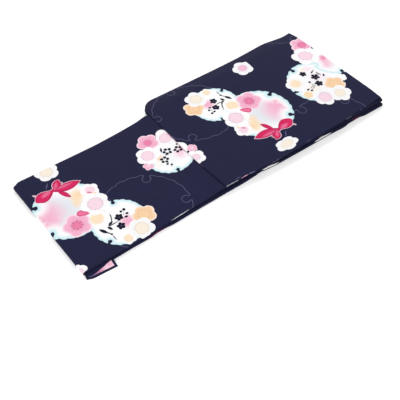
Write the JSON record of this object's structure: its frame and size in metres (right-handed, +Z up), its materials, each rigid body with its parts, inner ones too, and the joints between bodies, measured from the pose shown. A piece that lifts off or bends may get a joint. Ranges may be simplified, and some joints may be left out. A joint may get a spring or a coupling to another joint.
{
  "type": "folded cotton yukata robe",
  "caption": "Women's cotton yukata robe, folded flat in the traditional way: body halved at mid length, sleeves laid back over it.",
  "frame": {"origin": "middle of the footprint, on the surface the folded robe lies on", "axes": "+X from the half fold to the shoulders, +Y from the side seams to the centre back, +Z up"},
  "size_m": [0.84, 0.3542, 0.0251],
  "materials": {
    "printed_cotton": "matt plain-weave cotton, navy ground with a pale flower and goldfish print"
  },
  "bodies": {
    "root": {"body_left": "printed_cotton", "body_right": "printed_cotton", "hidden_layers": "printed_cotton", "sleeve_left": "printed_cotton", "sleeve_right": "printed_cotton", "collar_neck": "printed_cotton", "collar_tip": "printed_cotton"}
  },
  "joints": []
}
